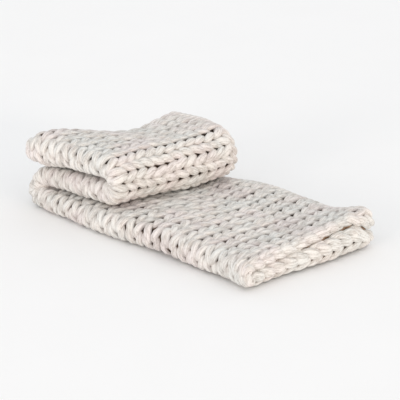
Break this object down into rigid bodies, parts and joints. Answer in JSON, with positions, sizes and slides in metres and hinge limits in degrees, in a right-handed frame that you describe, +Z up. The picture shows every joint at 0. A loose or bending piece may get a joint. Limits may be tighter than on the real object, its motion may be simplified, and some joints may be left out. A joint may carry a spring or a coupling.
{
  "type": "folded chunky knit blanket",
  "caption": "Chunky knit throw in thick soft tube yarn, folded lengthwise and then back and forth into a loose stack with one end left lying out flat.",
  "frame": {"origin": "centre of the folded blanket's footprint, on the surface it rests on", "axes": "+X along the folded strip, towards its free end; +Y across the strip, from the lengthwise fold to the open edges; +Z up"},
  "size_m": [0.9456, 0.5124, 0.2366],
  "materials": {
    "yarn": "matt, soft, lightly fuzzy cream cotton tube yarn"
  },
  "bodies": {
    "root": {"knit_blanket": "yarn"}
  },
  "joints": []
}
